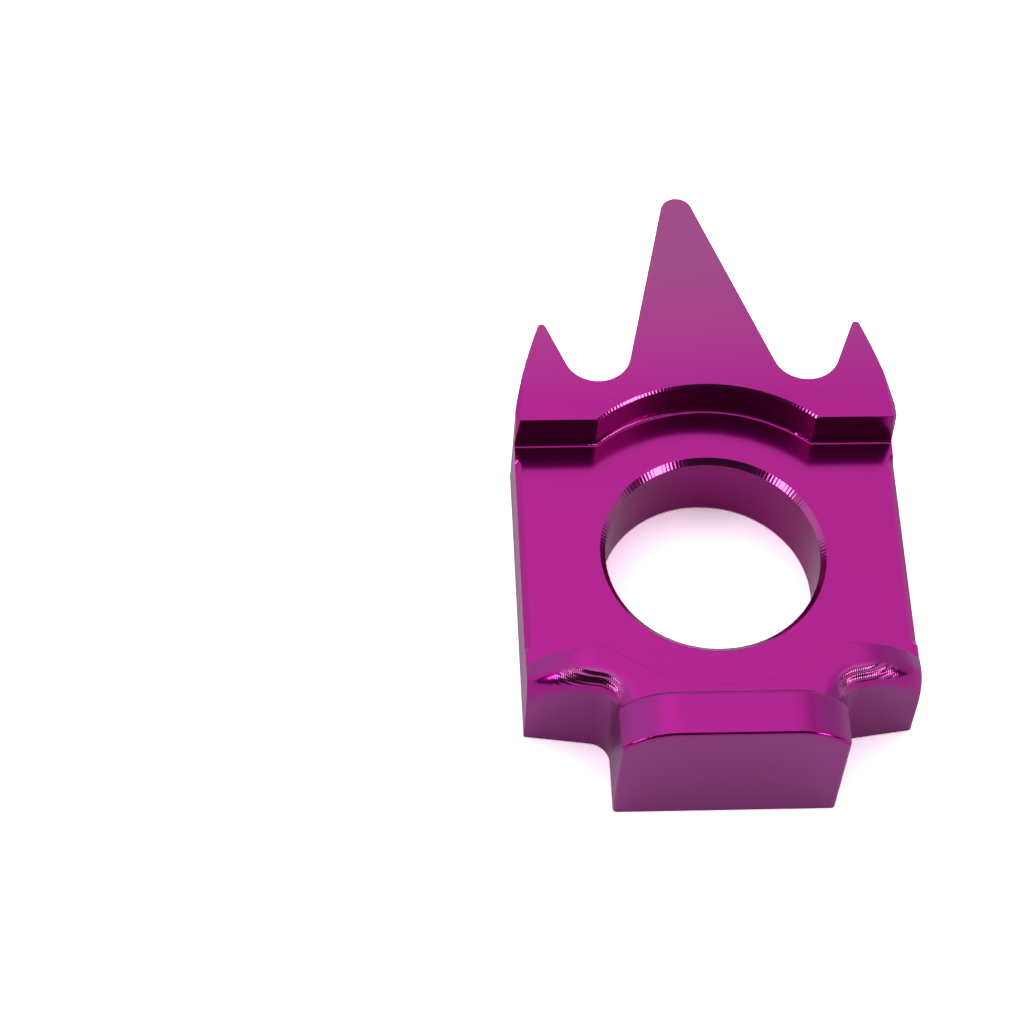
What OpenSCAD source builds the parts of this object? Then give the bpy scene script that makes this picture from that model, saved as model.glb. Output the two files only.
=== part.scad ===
// Axle block of a motorcycle chain adjuster, milled from one piece of aluminium.
// The origin lies on the axle bore's axis at the back face. Z points out of the back face
// towards the axle's head, Y towards the pointers, and X across the block. Sizes are in mm.

/* [Block] */
// Width of the block between its two sides
body_w = 44.8; // [42:0.2:50]
// Thickness of the crown, the plate with the three pointers
crown_h = 15.2; // [13:0.1:18]
// Thickness left under the axle's head or nut
seat_h = 10; // [7:0.5:11]

/* [Axle bore] */
// Diameter of the bore for the rear axle
bore_d = 25; // [20:0.5:27]
// Chamfer at the bore's mouth in the seat
bore_chamfer = 0.65; // [0.3:0.05:1.2]
// Chamfer at the bore's mouth in the back face
back_chamfer = 0.2; // [0.1:0.05:0.8]

/* [Axle seat] */
// Distance from the bore's axis to the crown's straight step
step_y = 15.15; // [14.5:0.05:16.5]
// Distance from the bore's axis to the lip's inner wall
lip_y = 14.8; // [14.4:0.05:16.5]
// Radius of the round relief that clears a washer
relief_r = 19.85; // [18:0.05:21]
// Fillet where the seat meets its walls
foot_r = 0.4; // [0.2:0.1:0.8]
// Chamfer along the crown's round relief
relief_chamfer = 0.25; // [0.15:0.05:0.5]
// Chamfer along the seat's two open sides
seat_chamfer = 0.7; // [0.2:0.05:0.85]
// Distance from the seat's walls to the ends of those chamfers
seat_chamfer_gap = 1.9; // [1.2:0.1:4]
// Radius of the chamfer mill at the seat's level
mill_r = 1.1; // [0.9:0.1:2]

/* [Crown] */
// Distance from the bore's axis to the long pointer's tip
spike_y = 47.7; // [42:0.1:55]
// Radius of the long pointer's tip
spike_tip_r = 1.95; // [1:0.05:3]
// Distance that the long pointer's tip lies to the left of the bore's axis
spike_lean = 1.5; // [0:0.1:3]
// Distance from the bore's axis to the side pointers' tips
side_spike_y = 29; // [27:0.1:33]
// Radius of the side pointers' tips
side_tip_r = 0.5; // [0.3:0.05:1]
// Distance from the block's side to the middle of a side pointer's tip
side_tip_inset = 3.6; // [2.5:0.1:4.5]
// Distance from the bore's axis to the bottom of the notches beside the long pointer
notch_y = 20.7; // [19.5:0.1:22]
// Radius of the notches' round bottom
notch_r = 4; // [3:0.1:4.5]
// Distance from the block's side to the middle of a notch
notch_inset = 9.98; // [9.3:0.02:10.5]
// Distance from the bore's axis to where the side turns into the side pointer's flank
flank_y = 17.2; // [16.6:0.1:20]
// Radius of the side pointers' bulging outer flanks
flank_r = 70; // [40:1:150]
// Chamfer on the crown's side edge, at the step
side_chamfer = 0.45; // [0.2:0.05:0.7]
// Distance from the bore's axis to where that chamfer has run out
side_chamfer_y = 22; // [20.5:0.1:25]
// Width, at the top, of the chamfer that narrows down the crown's two corners at the step
corner_chamfer = 0.45; // [0.2:0.05:0.7]

/* [Lip] */
// Height of the lip between the seat and the nose
lip_h = 14.3; // [12.5:0.1:16]
// Distance from the bore's axis to the shoulders' outer ends
shoulder_y = 18.4; // [17.6:0.1:20]
// Width of each shoulder, from the block's side to the nose
shoulder_w = 9.7; // [9:0.1:10.5]
// Angle by which the shoulders slope back towards the sides, in degrees
shoulder_slant = 8; // [2:1:12]
// Fillet in the upright corner between shoulder and nose
root_r = 2.5; // [1.5:0.1:3.5]
// Fillet over the shoulders' top edge
edge_r = 2.5; // [1:0.1:3.5]
// Straight length of shoulder between its corner fillet and the falling end
shoulder_flat = 0.3; // [0.1:0.1:1]
// Radius of the lip's falling ends
lip_corner_r = 9.5; // [9:0.1:14]

/* [Nose] */
// Distance from the bore's axis to the nose's front pad
front_y = 28.3; // [26.5:0.1:32]
// Distance from the bore's axis to the back of the nose's raised part
nose_back_y = 22.6; // [22:0.1:24]
// Height of the nose
nose_h = 18.1; // [16.5:0.1:20]
// Radius of the nose's two long upper corners
nose_corner_r = 8; // [7.2:0.1:12]
// Distance from the nose's side to where the corner radius starts on top
nose_corner_run = 6.4; // [5:0.1:7]
// Fillet round the nose's front pad
nose_edge_r = 0.45; // [0.2:0.05:0.8]
// Fillet over the nose's back top edge
nose_back_r = 0.8; // [0.3:0.05:1.5]

/* [Hidden] */
$fn = 96;

// Overrun of the cuts, past the faces that they leave
over = 0.5;
// Depth by which a straight run enters the round that it blends into
tuck = 0.001;

half_w = body_w / 2;
bore_r = bore_d / 2;
cut_h = max(crown_h, lip_h) - seat_h + over;

function along(angle) = [cos(angle), sin(angle)];
function heading(v) = atan2(v[1], v[0]);
function flip(point) = [-point[0], point[1]];

// Line that crosses between two round corners and blends into both, as its two ends
function cross_line(a, a_r, b, b_r, side) =
    let (to = along(heading(b - a) + side * acos((a_r + b_r - 2 * tuck) / norm(b - a))))
    [a + (a_r - tuck) * to, b - (b_r - tuck) * to];

// Crown: middles of its round corners, then the points where its flanks touch them
notch_mid = [half_w - notch_inset, notch_y + notch_r];
spike_mid = [-spike_lean, spike_y - spike_tip_r];
side_mid = [half_w - side_tip_inset, side_spike_y - side_tip_r];
right_flank = cross_line(notch_mid, notch_r, spike_mid, spike_tip_r, 1);
left_flank = cross_line(flip(notch_mid), notch_r, spike_mid, spike_tip_r, -1);
inner_flank = cross_line(notch_mid, notch_r, side_mid, side_tip_r, -1);

// The outer flank's circle passes through the end of the side and wraps the tip's circle
flank_foot = [half_w, flank_y];
flank_span = norm(side_mid - flank_foot);
flank_to = (side_mid - flank_foot) / flank_span;
flank_reach = flank_r - side_tip_r + tuck;
flank_shift = (pow(flank_r, 2) - pow(flank_reach, 2) + pow(flank_span, 2)) / (2 * flank_span);
flank_back = sqrt(pow(flank_r, 2) - pow(flank_shift, 2));
flank_mid = flank_foot + flank_shift * flank_to + flank_back * [-flank_to[1], flank_to[0]];

// The tapered chamfer runs from the step to a point on that circle
chamfer_start = [half_w - side_chamfer, step_y];
chamfer_dy = side_chamfer_y - flank_mid[1];
chamfer_end = [flank_mid[0] + sqrt(pow(flank_r, 2) - pow(chamfer_dy, 2)), side_chamfer_y];
chamfer_run = chamfer_end - chamfer_start;

// Lip and nose
nose_half = half_w - shoulder_w;
nose_l = front_y - nose_back_y;
nose_flat = nose_half - nose_corner_run;
lip_depth = shoulder_y;
root_mid_x = nose_half + root_r - tuck;
root_to_side = half_w - root_mid_x + root_r * sin(shoulder_slant);
root_mid_y = -shoulder_y - root_r * cos(shoulder_slant) - root_to_side * tan(shoulder_slant);
shoulder_start = [root_mid_x, root_mid_y] + (root_r - tuck) * along(90 + shoulder_slant);
lip_front = nose_back_y + nose_l / 2;

// The chamfer mill's axis beside the seat, and the two ends of its path
mill_x = half_w - seat_chamfer + mill_r;
mill_reach = seat_chamfer_gap + sqrt(pow(mill_r, 2) - pow(mill_r - seat_chamfer, 2));
mill_ends = [-lip_y + mill_reach, step_y - mill_reach];

// Right side pointer's outer part, up to its bulging flank
module flank() {
    intersection() {
        translate(flank_mid) circle(r = flank_r, $fn = 8 * $fn);
        polygon([
            [side_mid[0], flank_y / 2], [half_w, flank_y / 2], [half_w, side_mid[1]],
            side_mid + side_tip_inset * along(heading(side_mid - flank_mid)), side_mid
        ]);
    }
}

// Plan of the crown and the plate under the seat
module crown_outline() {
    side_low = [half_w, foot_r - lip_y];
    side_top = [half_w, flank_y / 2 + over];
    difference() {
        union() {
            polygon([
                side_low, side_top, side_mid,
                inner_flank[1], inner_flank[0], notch_mid, right_flank[0], right_flank[1],
                left_flank[1], left_flank[0], flip(notch_mid), flip(inner_flank[0]), flip(inner_flank[1]),
                flip(side_mid), flip(side_top), flip(side_low)
            ]);
            translate(spike_mid) circle(r = spike_tip_r);
            for (side = [0, 1]) mirror([side, 0]) {
                translate(side_mid) circle(r = side_tip_r);
                flank();
            }
        }
        for (side = [0, 1]) mirror([side, 0]) translate(notch_mid) circle(r = notch_r);
    }
}

// Section of the lip across its wall, with the top edge rounded over
module lip_section(depth, height) {
    square([depth, height - edge_r]);
    translate([edge_r, 0]) square([depth - edge_r, height]);
    translate([edge_r, height - edge_r]) circle(r = edge_r);
}

// Right half of the lip: shoulder, falling end, corner to the nose, and the lip's middle
module lip_half() {
    translate(shoulder_start) rotate([0, 0, shoulder_slant]) {
        translate([-lip_corner_r, 0, 0]) rotate([90, 0, 90])
            linear_extrude(lip_corner_r + shoulder_flat) lip_section(lip_depth, lip_h);
        translate([shoulder_flat, 0, lip_h - lip_corner_r]) rotate([-90, 0, 0]) rotate([0, 0, 180])
            rotate_extrude(angle = 180) mirror([1, -1, 0]) lip_section(lip_depth, lip_corner_r);
        translate([shoulder_flat - over, 0, 0]) linear_extrude(lip_h - lip_corner_r)
            mirror([1, -1, 0]) lip_section(lip_depth, lip_corner_r + over);
    }
    translate([root_mid_x, root_mid_y, 0]) rotate([0, 0, 90 + shoulder_slant])
        rotate_extrude(angle = 90 - shoulder_slant)
            translate([root_r, 0]) lip_section(lip_depth, lip_h);
    translate([nose_half, -lip_front, 0]) rotate([90, 0, 180])
        linear_extrude(lip_front) lip_section(nose_half + over, lip_h);
}

module lip() {
    intersection() {
        for (side = [0, 1]) mirror([side, 0, 0]) lip_half();
        translate([-half_w, -front_y, 0]) cube([body_w, front_y, lip_h]);
    }
}

// Section of the nose from front to back, with both top edges rounded over
module nose_section(height) {
    translate([-front_y, 0]) {
        square([nose_l, height - nose_back_r]);
        square([nose_l - nose_back_r, height - nose_edge_r]);
        translate([nose_edge_r, 0]) square([nose_l - nose_edge_r - nose_back_r, height]);
        translate([nose_edge_r, height - nose_edge_r]) circle(r = nose_edge_r);
        translate([nose_l - nose_back_r, height - nose_back_r]) circle(r = nose_back_r);
    }
}

// Plan of the nose, with its upright front edges rounded
module nose_outline() {
    translate([-nose_half, nose_edge_r - front_y]) square([2 * nose_half, nose_l - nose_edge_r]);
    translate([nose_edge_r - nose_half, -front_y]) square([2 * (nose_half - nose_edge_r), nose_l]);
    for (side = [-1, 1])
        translate([side * (nose_half - nose_edge_r), nose_edge_r - front_y]) circle(r = nose_edge_r);
}

// Front end that the adjuster screw bears on
module nose() {
    arc_z = nose_h - nose_corner_r;
    intersection() {
        union() {
            translate([-nose_flat, 0, 0]) rotate([90, 0, 90])
                linear_extrude(2 * nose_flat) nose_section(nose_h);
            for (side = [-1, 1])
                translate([side * nose_flat, 0, arc_z]) rotate([-90, 0, 0]) rotate([0, 0, 180])
                    rotate_extrude(angle = 180) mirror([1, -1, 0]) nose_section(nose_corner_r);
            translate([-nose_half, -front_y, 0]) cube([2 * nose_half, nose_l, arc_z]);
        }
        linear_extrude(nose_h + over) nose_outline();
    }
}

// Pocket for the axle's head: a channel from side to side, and a round relief
module seat_cut() {
    channel_l = step_y + lip_y;
    translate([0, 0, seat_h]) {
        translate([-half_w - over, -lip_y, 0]) rotate([90, 0, 90])
            linear_extrude(body_w + 2 * over) {
                translate([foot_r, 0]) square([channel_l - 2 * foot_r, cut_h]);
                translate([0, foot_r]) square([channel_l, cut_h - foot_r]);
                for (y = [foot_r, channel_l - foot_r]) translate([y, foot_r]) circle(r = foot_r);
            }
        rotate_extrude() {
            square([relief_r - foot_r, cut_h]);
            translate([0, foot_r]) square([relief_r, cut_h - foot_r]);
            translate([relief_r - foot_r, foot_r]) circle(r = foot_r);
        }
    }
}

// Axle bore, chamfered at both mouths
module bore_cut() {
    translate([0, 0, -over]) cylinder(h = seat_h + 2 * over, r = bore_r);
    translate([0, 0, seat_h - bore_chamfer])
        cylinder(h = bore_chamfer + over, r1 = bore_r, r2 = bore_r + bore_chamfer + over);
    translate([0, 0, -over])
        cylinder(h = back_chamfer + over, r1 = bore_r + back_chamfer + over, r2 = bore_r);
}

// Chamfer round the crown's half of the relief
module relief_chamfer_cut() {
    low_z = crown_h - relief_chamfer - over;
    rotate_extrude(angle = 180) polygon([
        [relief_r - over, low_z], [relief_r + relief_chamfer + over, crown_h + over],
        [relief_r - over, crown_h + over]
    ]);
}

// Chamfers at the crown's right side: one fades along the top edge, one narrows down the corner
module side_chamfer_cut() {
    wide = 2 * side_chamfer + over;
    translate([chamfer_start[0], chamfer_start[1], crown_h]) rotate([0, 0, heading(chamfer_run) - 90])
        translate([0, norm(chamfer_run) + over, 0]) rotate([90, 0, 0])
            linear_extrude(norm(chamfer_run) + 2 * over)
                polygon([[-over, over], [wide, over], [wide, -wide]]);
    foot_z = seat_h + foot_r;
    tilt = atan(corner_chamfer * sin(45) / (crown_h - foot_z));
    translate([half_w, step_y, foot_z]) rotate([0, 0, -45]) rotate([0, -tilt, 0])
        translate([0, -cut_h / 2, 0]) cube([over, cut_h, cut_h]);
}

// Chamfer along the seat's right side, with the mill's cone at both ends of its path
module seat_chamfer_cut() {
    top_r = mill_r + over;
    translate([mill_x, 0, seat_h - mill_r]) {
        for (y = mill_ends) translate([0, y, 0]) cylinder(h = top_r, r1 = 0, r2 = top_r);
        translate([0, mill_ends[1], 0]) rotate([90, 0, 0])
            linear_extrude(mill_ends[1] - mill_ends[0]) polygon([[0, 0], [top_r, top_r], [-top_r, top_r]]);
    }
}

module adjuster_block() {
    color("#ad258f") difference() {
        union() {
            linear_extrude(crown_h) crown_outline();
            lip();
            nose();
        }
        seat_cut();
        bore_cut();
        relief_chamfer_cut();
        for (side = [0, 1]) mirror([side, 0, 0]) {
            side_chamfer_cut();
            seat_chamfer_cut();
        }
    }
}

adjuster_block();
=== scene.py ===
import bpy
import math
from mathutils import Matrix, Vector

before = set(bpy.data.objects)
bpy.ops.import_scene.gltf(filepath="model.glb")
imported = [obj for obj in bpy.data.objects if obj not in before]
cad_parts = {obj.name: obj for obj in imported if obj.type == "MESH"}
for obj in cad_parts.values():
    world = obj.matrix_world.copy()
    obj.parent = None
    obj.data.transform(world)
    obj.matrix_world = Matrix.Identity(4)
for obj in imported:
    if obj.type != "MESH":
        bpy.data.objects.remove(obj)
scene = bpy.context.scene
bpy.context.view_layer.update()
mm = 0.001
print("stage: frame loaded")


def hexToLinear(code):
    channels = [int(code[i:i + 2], 16) / 255 for i in (1, 3, 5)]
    return [c / 12.92 if c <= 0.04045 else ((c + 0.055) / 1.055) ** 2.4 for c in channels] + [1]


# Adds one node with its settings, and links or sets its inputs
def addNode(tree, kind, inputs={}, **settings):
    node = tree.nodes.new(kind)
    for name, value in settings.items():
        setattr(node, name, value)
    for name, value in inputs.items():
        socket = node.inputs[name]
        if isinstance(value, bpy.types.NodeSocket):
            tree.links.new(value, socket)
        else:
            socket.default_value = value
    return node


def newMaterial(name):
    material = bpy.data.materials.new(name)
    material.use_nodes = True
    material.node_tree.nodes.clear()
    return material, material.node_tree


# Camera: in front of the block and a little left of it, looking down at about 57 degrees
cameraView = {
    "lensMm": 113.36,
    "sensorMm": 36.0,
    "placeMm": (-45.795, -195.288, 325.186),
    "turnDeg": -6.443,
    "tiltDeg": 32.712,
    "rollDeg": 4.692,
    "clipStartMm": 10,
}


def makeCamera(view):
    data = bpy.data.cameras.new("camera")
    data.lens = view["lensMm"]
    data.sensor_width = view["sensorMm"]
    data.clip_start = view["clipStartMm"] * mm
    camera = bpy.data.objects.new("camera", data)
    turn = Matrix.Rotation(math.radians(view["turnDeg"]), 4, "Z")
    tilt = Matrix.Rotation(math.radians(view["tiltDeg"]), 4, "X")
    roll = Matrix.Rotation(math.radians(view["rollDeg"]), 4, "Z")
    camera.matrix_world = Matrix.Translation(Vector(view["placeMm"]) * mm) @ turn @ tilt @ roll
    scene.collection.objects.link(camera)
    scene.camera = camera


makeCamera(cameraView)
print("stage: camera")

# Anodised aluminium, milled before it was dyed: a clear metallic purple. The flat tops are bright
# and show the light tent like a satin mirror. The outer sides are duller, and their darker base
# colour is painted shade that darkens the upright faces. The pointers are greyer towards their
# tips, a painted haze of glare from the bright backdrop. The cutter's marks break the highlights
# on the round chamfers and on the lip's shoulders. A rise is how far a face looks up or down: 1 is
# flat, 0 is upright.
anodisedFinish = {
    "topColour": "#b80b94",
    # Painted shade: the side colour is a darker copy of the top colour, for the dull upright faces
    "shadedSideColour": "#a6088f",
    # Painted glare: the tip colour is a greyer purple that the pointers fade to towards their tips
    "tipGlareColour": "#aa4b8f",
    "topRoughness": 0.2,
    "sideRoughness": 0.38,
    "clearLayer": 0.225,
    "sideClearLayer": 0.4,
    "chamferClearLayer": 1.0,
    "passClearLayer": 0.9,
    "clearIndex": 1.8,
    "clearRoughness": 0.12,
    "chatterPitchMm": 0.45,       # cutter's chatter across the round chamfers
    "chatterDepthMm": 0.004,
    "passPitchMm": 0.4,           # height between the ball mill's passes over the lip's front edge
    "passDepthMm": 0.011,
    "topPassGain": 4.5,           # the first pass cuts deepest, where the edge is still shallow
    "passEndMm": (17.5, 20.5),    # the marks run out towards the block's sides
    "toothPitchMm": 0.22,         # marks of the cutter's teeth along each pass
    "toothShare": 0.55,
    "grainWidthMm": 0.25,         # real marks are a tenth as wide, too fine to show
    "grainLengthMm": 5.0,
    "grainDepthMm": 0.0004,
    "grainDetail": 2.0,
    "uprightRise": (0.3, 0.05),
    "roundedRise": (0.99, 0.9),
    "slopingRise": (0.35, 0.6),
    "topPassRise": (0.75, 0.93),
    "chamferRise": 0.707,
    "chamferRiseSpan": 0.1,
    "pocketWallFacing": -0.15,    # along Y, as the next one
    "forwardFacing": (-0.1, -0.35),
    "chamferRadiiMm": (12.4, 20.3),
    "pocketBackMm": 14.0,
    "boreReachMm": 12.6,
    "lipStartMm": -14.9,
    "lipTopMm": 14.35,
    "tipGlareFadeMm": (18.0, 38.0),
}


def makeAnodised(finish):
    material, tree = newMaterial("anodisedAluminium")
    coords = addNode(tree, "ShaderNodeTexCoord")
    place = addNode(tree, "ShaderNodeVectorMath", {"Vector": coords.outputs["Object"], "Scale": 1 / mm},
                    operation="SCALE")
    at = addNode(tree, "ShaderNodeSeparateXYZ", {"Vector": place.outputs["Vector"]})
    facing = addNode(tree, "ShaderNodeSeparateXYZ", {"Vector": coords.outputs["Normal"]})
    rise = addNode(tree, "ShaderNodeMath", {0: facing.outputs["Z"]}, operation="ABSOLUTE")

    # Upright faces are dull, apart from the bore's wall and the pocket's walls behind it, which the
    # end mill left bright. The lip's rounded faces that turn sideways are dull too. The same mask gives
    # the dull faces their darker base colour, which is painted shade
    upright = addNode(tree, "ShaderNodeMapRange", {
        "Value": rise.outputs[0], "From Min": finish["uprightRise"][0], "From Max": finish["uprightRise"][1]},
        interpolation_type="SMOOTHSTEP")
    turnedFront = addNode(tree, "ShaderNodeMath", {0: facing.outputs["Y"], 1: finish["pocketWallFacing"]},
                          operation="LESS_THAN")
    behindBore = addNode(tree, "ShaderNodeMath", {0: at.outputs["Y"], 1: finish["pocketBackMm"]},
                         operation="GREATER_THAN")
    pocketWall = addNode(tree, "ShaderNodeMath", {0: turnedFront.outputs[0], 1: behindBore.outputs[0]},
                         operation="MULTIPLY")
    flatPlace = addNode(tree, "ShaderNodeVectorMath", {0: place.outputs["Vector"], 1: (1, 1, 0)},
                        operation="MULTIPLY")
    radius = addNode(tree, "ShaderNodeVectorMath", {0: flatPlace.outputs["Vector"]}, operation="LENGTH")
    boreWall = addNode(tree, "ShaderNodeMath", {0: radius.outputs["Value"], 1: finish["boreReachMm"]},
                       operation="LESS_THAN")
    endMilled = addNode(tree, "ShaderNodeMath", {0: pocketWall.outputs[0], 1: boreWall.outputs[0]},
                        operation="MAXIMUM")
    outside = addNode(tree, "ShaderNodeMath", {0: upright.outputs["Result"], 1: endMilled.outputs[0]},
                      operation="SUBTRACT", use_clamp=True)
    inFront = addNode(tree, "ShaderNodeMath", {0: at.outputs["Y"], 1: finish["lipStartMm"]},
                      operation="LESS_THAN")
    forward = addNode(tree, "ShaderNodeMapRange", {
        "Value": facing.outputs["Y"], "From Min": finish["forwardFacing"][0],
        "From Max": finish["forwardFacing"][1]}, interpolation_type="SMOOTHSTEP")
    sideways = addNode(tree, "ShaderNodeMath", {0: inFront.outputs[0], 1: forward.outputs["Result"]},
                       operation="SUBTRACT", use_clamp=True)
    rounded = addNode(tree, "ShaderNodeMapRange", {
        "Value": rise.outputs[0], "From Min": finish["roundedRise"][0], "From Max": finish["roundedRise"][1],
        "To Max": sideways.outputs[0]}, interpolation_type="SMOOTHSTEP")
    dullAndShaded = addNode(tree, "ShaderNodeMath", {0: outside.outputs[0], 1: rounded.outputs["Result"]},
                   operation="MAXIMUM")

    # The pointers are greyer towards their tips, painted glare from the bright backdrop. The dull faces
    # take a darker base colour, painted shade that darkens the upright faces
    # Painted glare: the top colour fades to the greyer tip colour along the pointers
    tip = addNode(tree, "ShaderNodeMapRange", {"Value": at.outputs["Y"], "From Min": finish["tipGlareFadeMm"][0],
                                              "From Max": finish["tipGlareFadeMm"][1]})
    topColour = addNode(tree, "ShaderNodeMix", {0: tip.outputs["Result"], 6: hexToLinear(finish["topColour"]),
                                                7: hexToLinear(finish["tipGlareColour"])}, data_type="RGBA")
    # Painted shade: the dull upright faces take the darker side colour
    colour = addNode(tree, "ShaderNodeMix", {0: dullAndShaded.outputs[0], 6: topColour.outputs[2],
                                             7: hexToLinear(finish["shadedSideColour"])}, data_type="RGBA")
    roughness = addNode(tree, "ShaderNodeMapRange", {"Value": dullAndShaded.outputs[0], "To Min": finish["topRoughness"],
                                                    "To Max": finish["sideRoughness"]})

    # Chatter: ridges that point at the bore's axis, on the two chamfers round it
    turn = addNode(tree, "ShaderNodeMath", {0: at.outputs["Y"], 1: at.outputs["X"]}, operation="ARCTAN2")
    inner, outer = finish["chamferRadiiMm"]
    nearOuter = addNode(tree, "ShaderNodeMath", {0: radius.outputs["Value"], 1: (inner + outer) / 2},
                        operation="GREATER_THAN")
    ringRadius = addNode(tree, "ShaderNodeMapRange", {"Value": nearOuter.outputs[0], "To Min": inner,
                                                     "To Max": outer})
    along = addNode(tree, "ShaderNodeMath", {0: turn.outputs[0], 1: ringRadius.outputs["Result"]},
                    operation="MULTIPLY")
    phase = addNode(tree, "ShaderNodeMath", {0: along.outputs[0], 1: 2 * math.pi / finish["chatterPitchMm"]},
                    operation="MULTIPLY")
    chatter = addNode(tree, "ShaderNodeMath", {0: phase.outputs[0]}, operation="SINE")
    tilted = addNode(tree, "ShaderNodeMath", {0: rise.outputs[0], 1: finish["chamferRise"],
                                              2: finish["chamferRiseSpan"]}, operation="COMPARE")
    inRing = addNode(tree, "ShaderNodeMath", {0: radius.outputs["Value"], 1: outer}, operation="LESS_THAN")
    onChamfer = addNode(tree, "ShaderNodeMath", {0: tilted.outputs[0], 1: inRing.outputs[0]},
                        operation="MULTIPLY")
    chatterOn = addNode(tree, "ShaderNodeMath", {0: chatter.outputs[0], 1: onChamfer.outputs[0]},
                        operation="MULTIPLY")

    # Passes: level ridges over the lip's rounded shoulders
    level = addNode(tree, "ShaderNodeMath", {0: at.outputs["Z"], 1: 2 * math.pi / finish["passPitchMm"]},
                    operation="MULTIPLY")
    passes = addNode(tree, "ShaderNodeMath", {0: level.outputs[0]}, operation="SINE")
    underTop = addNode(tree, "ShaderNodeMath", {0: at.outputs["Z"], 1: finish["lipTopMm"]},
                       operation="LESS_THAN")
    sloping = addNode(tree, "ShaderNodeMapRange", {
        "Value": rise.outputs[0], "From Min": finish["slopingRise"][0], "From Max": finish["slopingRise"][1]},
        interpolation_type="SMOOTHSTEP")
    onEdge = addNode(tree, "ShaderNodeMath", {0: sloping.outputs["Result"], 1: forward.outputs["Result"]},
                     operation="MULTIPLY")
    across = addNode(tree, "ShaderNodeMath", {0: at.outputs["X"], 1: 2 * math.pi / finish["toothPitchMm"]},
                     operation="MULTIPLY")
    tooth = addNode(tree, "ShaderNodeMath", {0: across.outputs[0]}, operation="SINE")
    toothMarks = addNode(tree, "ShaderNodeMath", {0: tooth.outputs[0], 1: finish["toothShare"]},
                         operation="MULTIPLY")
    onLip = addNode(tree, "ShaderNodeMath", {0: inFront.outputs[0], 1: underTop.outputs[0]},
                    operation="MULTIPLY")
    topGain = addNode(tree, "ShaderNodeMapRange", {
        "Value": rise.outputs[0], "From Min": finish["topPassRise"][0], "From Max": finish["topPassRise"][1],
        "To Min": 1.0, "To Max": finish["topPassGain"]})
    marks = addNode(tree, "ShaderNodeMath", {0: passes.outputs[0], 1: topGain.outputs["Result"],
                                            2: toothMarks.outputs[0]}, operation="MULTIPLY_ADD")
    outward = addNode(tree, "ShaderNodeMath", {0: at.outputs["X"]}, operation="ABSOLUTE")
    runOut = addNode(tree, "ShaderNodeMapRange", {
        "Value": outward.outputs[0], "From Min": finish["passEndMm"][1], "From Max": finish["passEndMm"][0],
        "To Max": onEdge.outputs[0]}, interpolation_type="SMOOTHSTEP")
    onShoulder = addNode(tree, "ShaderNodeMath", {0: onLip.outputs[0], 1: runOut.outputs["Result"]},
                         operation="MULTIPLY")
    passesOn = addNode(tree, "ShaderNodeMath", {0: marks.outputs[0], 1: onShoulder.outputs[0]},
                       operation="MULTIPLY")

    # Grain: short streaks along the block, from the facing cutter
    stretch = (1 / finish["grainWidthMm"], 1 / finish["grainLengthMm"], 1 / finish["grainWidthMm"])
    grainPlace = addNode(tree, "ShaderNodeVectorMath", {0: place.outputs["Vector"], 1: stretch},
                         operation="MULTIPLY")
    grain = addNode(tree, "ShaderNodeTexNoise", {"Vector": grainPlace.outputs["Vector"], "Scale": 1.0,
                                                "Detail": finish["grainDetail"]})

    # The clear layer shows a little more on the dull faces, and most on the two chamfers and the passes
    faceLayer = addNode(tree, "ShaderNodeMapRange", {"Value": dullAndShaded.outputs[0], "To Min": finish["clearLayer"],
                                                    "To Max": finish["sideClearLayer"]})
    chamferLayer = addNode(tree, "ShaderNodeMath", {0: onChamfer.outputs[0], 1: finish["chamferClearLayer"]},
                           operation="MULTIPLY")
    passLayer = addNode(tree, "ShaderNodeMath", {0: onShoulder.outputs[0], 1: finish["passClearLayer"],
                                                2: chamferLayer.outputs[0]}, operation="MULTIPLY_ADD")
    layer = addNode(tree, "ShaderNodeMath", {0: faceLayer.outputs["Result"], 1: passLayer.outputs[0]},
                    operation="MAXIMUM")

    chatterBump = addNode(tree, "ShaderNodeBump", {"Height": chatterOn.outputs[0],
                                                  "Distance": finish["chatterDepthMm"] * mm})
    passBump = addNode(tree, "ShaderNodeBump", {"Height": passesOn.outputs[0], "Normal": chatterBump.outputs[0],
                                               "Distance": finish["passDepthMm"] * mm})
    grainBump = addNode(tree, "ShaderNodeBump", {"Height": grain.outputs[0], "Normal": passBump.outputs[0],
                                                "Distance": finish["grainDepthMm"] * mm})
    shader = addNode(tree, "ShaderNodeBsdfPrincipled", {
        "Base Color": colour.outputs[2],
        "Metallic": 1.0,
        "Roughness": roughness.outputs["Result"],
        "Coat Weight": layer.outputs[0],
        "Coat Roughness": finish["clearRoughness"],
        "Coat IOR": finish["clearIndex"],
        "Normal": grainBump.outputs[0],
        "Coat Normal": grainBump.outputs[0],
    })
    addNode(tree, "ShaderNodeOutputMaterial", {"Surface": shader.outputs["BSDF"]})
    return material


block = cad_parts["adjuster_block"]
block.data.materials.clear()
block.data.materials.append(makeAnodised(anodisedFinish))
print("stage: finish")

# Edge break: the deburred edges of the crown, the lip's inner edge and the back face
edgeBreak = {
    "widthMm": 0.12,
    "weldMm": 0.002,
    "flatDeg": 0.3,               # facets that lie flatter than this join into one face
    "softDeg": 30,                # edges flatter than this are shaded smooth
    "sharpDeg": 60,               # outer edges sharper than this are broken
    "segments": 3,
    "normalWeight": 100,
    "zonesMm": (
        ((-23, 15, 15.19), (23, 48, 15.21)),
        ((-23, -20, 10.6), (23, -14.7, 14.4)),
        ((-23, -29, -0.01), (23, 48, 0.01)),
    ),
}


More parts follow.
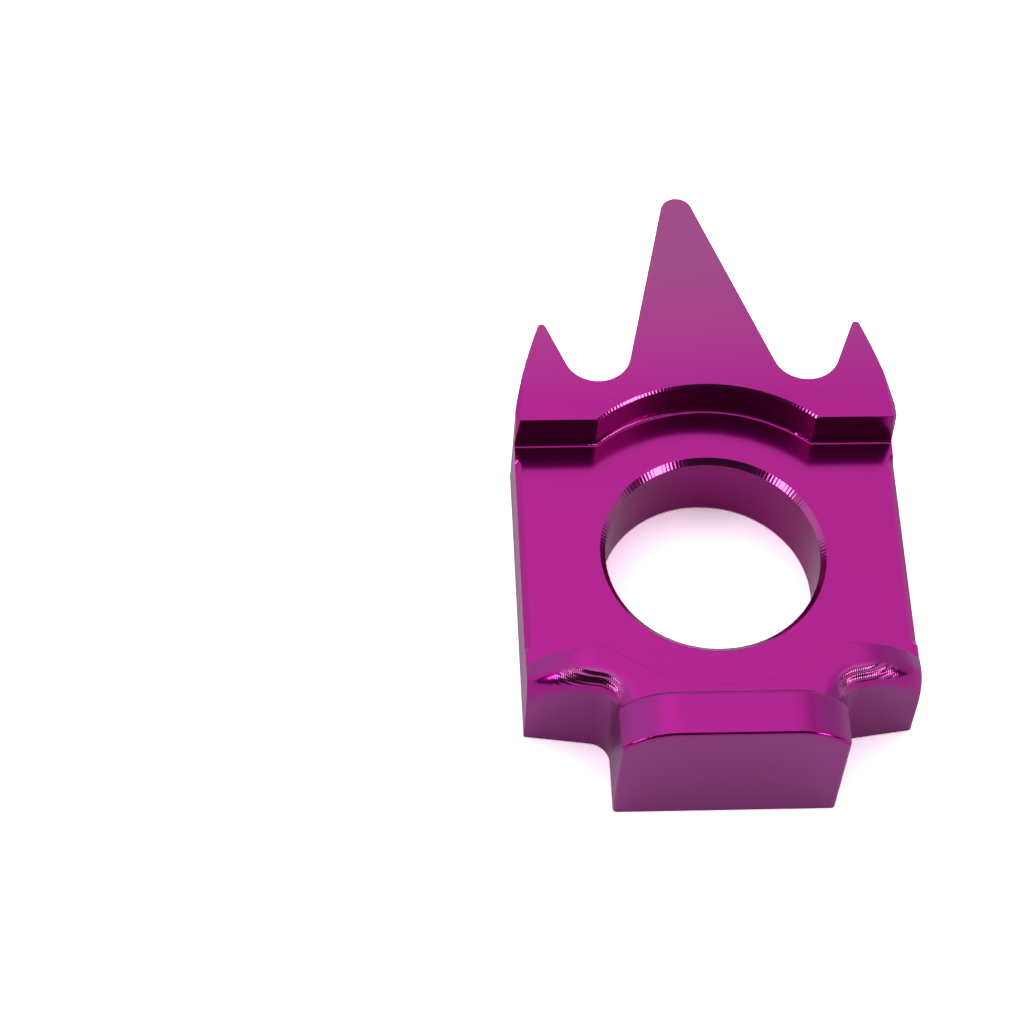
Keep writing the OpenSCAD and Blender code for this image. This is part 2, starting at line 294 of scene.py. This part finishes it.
# Marks the edges in the zones for the bevel, and keeps every other crisp edge sharp
def makeEdgeMarks(size):
    tree = bpy.data.node_groups.new("edgeMarks", "GeometryNodeTree")
    tree.interface.new_socket("Geometry", in_out="INPUT", socket_type="NodeSocketGeometry")
    tree.interface.new_socket("Geometry", in_out="OUTPUT", socket_type="NodeSocketGeometry")
    start = addNode(tree, "NodeGroupInput")
    place = addNode(tree, "GeometryNodeInputPosition")
    bend = addNode(tree, "GeometryNodeInputMeshEdgeAngle")
    inside = None
    for low, high in size["zonesMm"]:
        middle = [(a + b) / 2 * mm for a, b in zip(low, high)]
        halfSize = [(b - a) / 2 * mm for a, b in zip(low, high)]
        offset = addNode(tree, "ShaderNodeVectorMath", {0: place.outputs[0], 1: middle}, operation="SUBTRACT")
        share = addNode(tree, "ShaderNodeVectorMath", {0: offset.outputs[0], 1: halfSize}, operation="DIVIDE")
        extent = addNode(tree, "ShaderNodeVectorMath", {0: share.outputs[0]}, operation="ABSOLUTE")
        axes = addNode(tree, "ShaderNodeSeparateXYZ", {0: extent.outputs[0]})
        level = addNode(tree, "ShaderNodeMath", {0: axes.outputs[0], 1: axes.outputs[1]}, operation="MAXIMUM")
        reach = addNode(tree, "ShaderNodeMath", {0: level.outputs[0], 1: axes.outputs[2]}, operation="MAXIMUM")
        within = addNode(tree, "ShaderNodeMath", {0: reach.outputs[0], 1: 1.0}, operation="LESS_THAN")
        if inside is None:
            inside = within
        else:
            inside = addNode(tree, "ShaderNodeMath", {0: inside.outputs[0], 1: within.outputs[0]},
                             operation="MAXIMUM")
    outer = addNode(tree, "ShaderNodeMath", {0: bend.outputs["Signed Angle"],
                                            1: math.radians(size["sharpDeg"])}, operation="GREATER_THAN")
    weight = addNode(tree, "ShaderNodeMath", {0: inside.outputs[0], 1: outer.outputs[0]}, operation="MULTIPLY")
    gentle = addNode(tree, "ShaderNodeMath", {0: bend.outputs["Unsigned Angle"],
                                             1: math.radians(size["softDeg"])}, operation="LESS_THAN")
    smooth = addNode(tree, "ShaderNodeMath", {0: gentle.outputs[0], 1: weight.outputs[0]}, operation="MAXIMUM")
    weighted = addNode(tree, "GeometryNodeStoreNamedAttribute", {
        "Geometry": start.outputs[0], "Name": "bevel_weight_edge", "Value": weight.outputs[0]},
        data_type="FLOAT", domain="EDGE")
    shaded = addNode(tree, "GeometryNodeSetShadeSmooth", {
        0: weighted.outputs[0], "Shade Smooth": smooth.outputs[0]}, domain="EDGE")
    addNode(tree, "NodeGroupOutput", {0: shaded.outputs[0]})
    return tree


def breakEdges(piece, size):
    weld = piece.modifiers.new("weld", "WELD")
    weld.merge_threshold = size["weldMm"] * mm
    facets = piece.modifiers.new("flat", "DECIMATE")
    facets.decimate_type = "DISSOLVE"
    facets.angle_limit = math.radians(size["flatDeg"])
    marks = piece.modifiers.new("edgeMarks", "NODES")
    marks.node_group = makeEdgeMarks(size)
    bevel = piece.modifiers.new("edgeBreak", "BEVEL")
    bevel.width = size["widthMm"] * mm
    bevel.segments = size["segments"]
    bevel.limit_method = "WEIGHT"
    bevel.use_clamp_overlap = False
    bevel.miter_outer = "MITER_SHARP"
    normals = piece.modifiers.new("normals", "WEIGHTED_NORMAL")
    normals.keep_sharp = True
    normals.weight = size["normalWeight"]


breakEdges(block, edgeBreak)
print("stage: edges")

# Light tent: soft walls and a brighter roof all round, open and dark towards the camera
tent = {
    "horizonLevel": 0.72,
    "wallLevel": 0.8,
    "roofLevel": 1.0,
    "wallHeights": (0.0, 0.45, 0.7, 0.84),
    "rightFade": (1.04, 0.68),
    "rightFadeAcross": (-0.05, 0.5),
    "openingStart": (-0.34, -0.43),
    "openingMiddleX": 0.15,
    "openingSpread": 0.2,
    "openingLevel": 0.045,
    "lamps": {
        "rightLamp": {"aimDeg": (-42, 24), "distanceMm": 700, "sizeMm": (170, 210), "level": 6.5},
        "leftLamp": {"aimDeg": (208, 26), "distanceMm": 700, "sizeMm": (150, 200), "level": 6.2},
    },
}


def makeLamp(name, lampSize):
    azimuth, elevation = (math.radians(a) for a in lampSize["aimDeg"])
    away = Vector((math.cos(azimuth) * math.cos(elevation), math.sin(azimuth) * math.cos(elevation),
                   math.sin(elevation)))
    light = bpy.data.lights.new(name, "AREA")
    light.shape = "RECTANGLE"
    light.size, light.size_y = (side * mm for side in lampSize["sizeMm"])
    light.energy = lampSize["level"] * math.pi * light.size * light.size_y
    lamp = bpy.data.objects.new(name, light)
    lamp.location = away * lampSize["distanceMm"] * mm
    lamp.rotation_mode = "QUATERNION"
    lamp.rotation_quaternion = away.to_track_quat("Z", "Y")
    scene.collection.objects.link(lamp)


def makeTent(setup):
    world = bpy.data.worlds.new("lightTent")
    world.use_nodes = True
    tree = world.node_tree
    tree.nodes.clear()
    coords = addNode(tree, "ShaderNodeTexCoord")
    towards = addNode(tree, "ShaderNodeSeparateXYZ", {0: coords.outputs["Generated"]})
    heights = setup["wallHeights"]
    walls = addNode(tree, "ShaderNodeMapRange", {
        "Value": towards.outputs["Z"], "From Min": heights[0], "From Max": heights[1],
        "To Min": setup["horizonLevel"], "To Max": setup["wallLevel"]})
    roof = addNode(tree, "ShaderNodeMapRange", {
        "Value": towards.outputs["Z"], "From Min": heights[2], "From Max": heights[3],
        "To Min": 0.0, "To Max": setup["roofLevel"] - setup["wallLevel"]}, interpolation_type="SMOOTHSTEP")
    dome = addNode(tree, "ShaderNodeMath", {0: walls.outputs["Result"], 1: roof.outputs["Result"]},
                   operation="ADD")
    fade = addNode(tree, "ShaderNodeMapRange", {
        "Value": towards.outputs["X"], "From Min": setup["rightFadeAcross"][0],
        "From Max": setup["rightFadeAcross"][1], "To Min": setup["rightFade"][0],
        "To Max": setup["rightFade"][1]})
    fromMiddle = addNode(tree, "ShaderNodeMath", {0: towards.outputs["X"], 1: setup["openingMiddleX"]},
                         operation="SUBTRACT")
    aside = addNode(tree, "ShaderNodeMath", {0: fromMiddle.outputs[0]}, operation="ABSOLUTE")
    faded = addNode(tree, "ShaderNodeMath", {0: dome.outputs[0], 1: fade.outputs["Result"]},
                    operation="MULTIPLY")
    forward = addNode(tree, "ShaderNodeMath", {0: aside.outputs[0], 1: -setup["openingSpread"],
                                              2: towards.outputs["Y"]}, operation="MULTIPLY_ADD")
    opening = addNode(tree, "ShaderNodeMapRange", {
        "Value": forward.outputs[0], "From Min": setup["openingStart"][1], "From Max": setup["openingStart"][0],
        "To Min": setup["openingLevel"], "To Max": 1.0}, interpolation_type="SMOOTHSTEP")
    level = addNode(tree, "ShaderNodeMath", {0: faded.outputs[0], 1: opening.outputs["Result"]},
                    operation="MULTIPLY")
    path = addNode(tree, "ShaderNodeLightPath")
    seen = addNode(tree, "ShaderNodeMath", {0: level.outputs[0], 1: path.outputs["Is Camera Ray"]},
                   operation="MAXIMUM")
    sky = addNode(tree, "ShaderNodeBackground", {"Color": (1, 1, 1, 1), "Strength": seen.outputs[0]})
    addNode(tree, "ShaderNodeOutputWorld", {"Surface": sky.outputs["Background"]})
    scene.world = world
    for name, lampSize in setup["lamps"].items():
        makeLamp(name, lampSize)


makeTent(tent)
print("stage: tent")

# White paper under the block: the camera sees it exposed past white, so that only the shadow close
# to the block shows. The metal sees it as it is lit
paper = {
    "colour": "#fafafb",
    "cameraExposure": 3.5,
    "sizeMm": 6000,
    "gapMm": 0.02,
}


def makePaper(sheet):
    half = sheet["sizeMm"] * mm / 2
    mesh = bpy.data.meshes.new("paper")
    mesh.from_pydata([(-half, -half, 0), (half, -half, 0), (half, half, 0), (-half, half, 0)], [],
                     [(0, 1, 2, 3)])
    floor = bpy.data.objects.new("paper", mesh)
    floor.location.z = -sheet["gapMm"] * mm
    scene.collection.objects.link(floor)
    material, tree = newMaterial("whitePaper")
    path = addNode(tree, "ShaderNodeLightPath")
    exposure = addNode(tree, "ShaderNodeMapRange", {"Value": path.outputs["Is Camera Ray"], "To Min": 1.0,
                                                   "To Max": sheet["cameraExposure"]})
    colour = addNode(tree, "ShaderNodeVectorMath", {0: hexToLinear(sheet["colour"])[:3],
                                                   "Scale": exposure.outputs["Result"]}, operation="SCALE")
    shader = addNode(tree, "ShaderNodeBsdfDiffuse", {"Color": colour.outputs[0]})
    addNode(tree, "ShaderNodeOutputMaterial", {"Surface": shader.outputs["BSDF"]})
    mesh.materials.append(material)


makePaper(paper)
scene.view_settings.view_transform = "Standard"
print("stage: paper")
